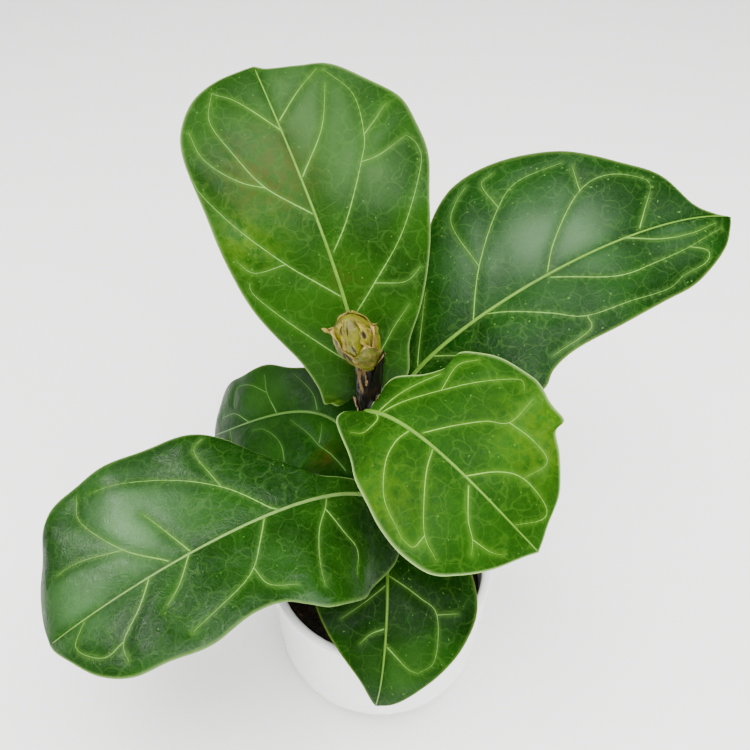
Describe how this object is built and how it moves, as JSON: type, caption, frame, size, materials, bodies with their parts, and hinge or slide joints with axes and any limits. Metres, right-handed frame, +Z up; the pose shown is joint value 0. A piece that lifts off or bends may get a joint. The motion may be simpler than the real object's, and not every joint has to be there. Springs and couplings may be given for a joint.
{
  "type": "potted fiddle leaf fig",
  "caption": "Young fiddle leaf fig with broad veined leaves and a sheathed bud on one stem, in a round white glazed pot of potting mix; stands on a table or shelf as a live plant.",
  "frame": {"origin": "centre of the pot's flat underside, on the surface it stands on", "axes": "+Z up along the pot's axis; +X to the right and +Y away, seen from the side that the lowest leaf hangs over"},
  "size_m": [0.354, 0.2219, 0.3512],
  "materials": {
    "glazed_pot": "gloss",
    "potting_mix": "matte",
    "green_stem": "satin",
    "leaf_back_blade": "satin",
    "leaf_right_blade": "satin",
    "leaf_left_blade": "satin",
    "leaf_back_left_blade": "satin",
    "leaf_young_blade": "satin",
    "leaf_front_blade": "satin",
    "bud_sheath": "satin",
    "terminal_bud": "matte",
    "papery_scale": "matte"
  },
  "bodies": {
    "root": {"pot": "glazed_pot", "potting_mix": "potting_mix", "stem": "green_stem", "leaf_back": "leaf_back_blade", "leaf_right": "leaf_right_blade", "leaf_left": "leaf_left_blade", "leaf_back_left": "leaf_back_left_blade", "leaf_young": "leaf_young_blade", "leaf_front": "leaf_front_blade", "bud_sheath": "bud_sheath", "terminal_bud": "terminal_bud", "papery_scale_left": "papery_scale", "papery_scale_right": "papery_scale"}
  },
  "joints": []
}
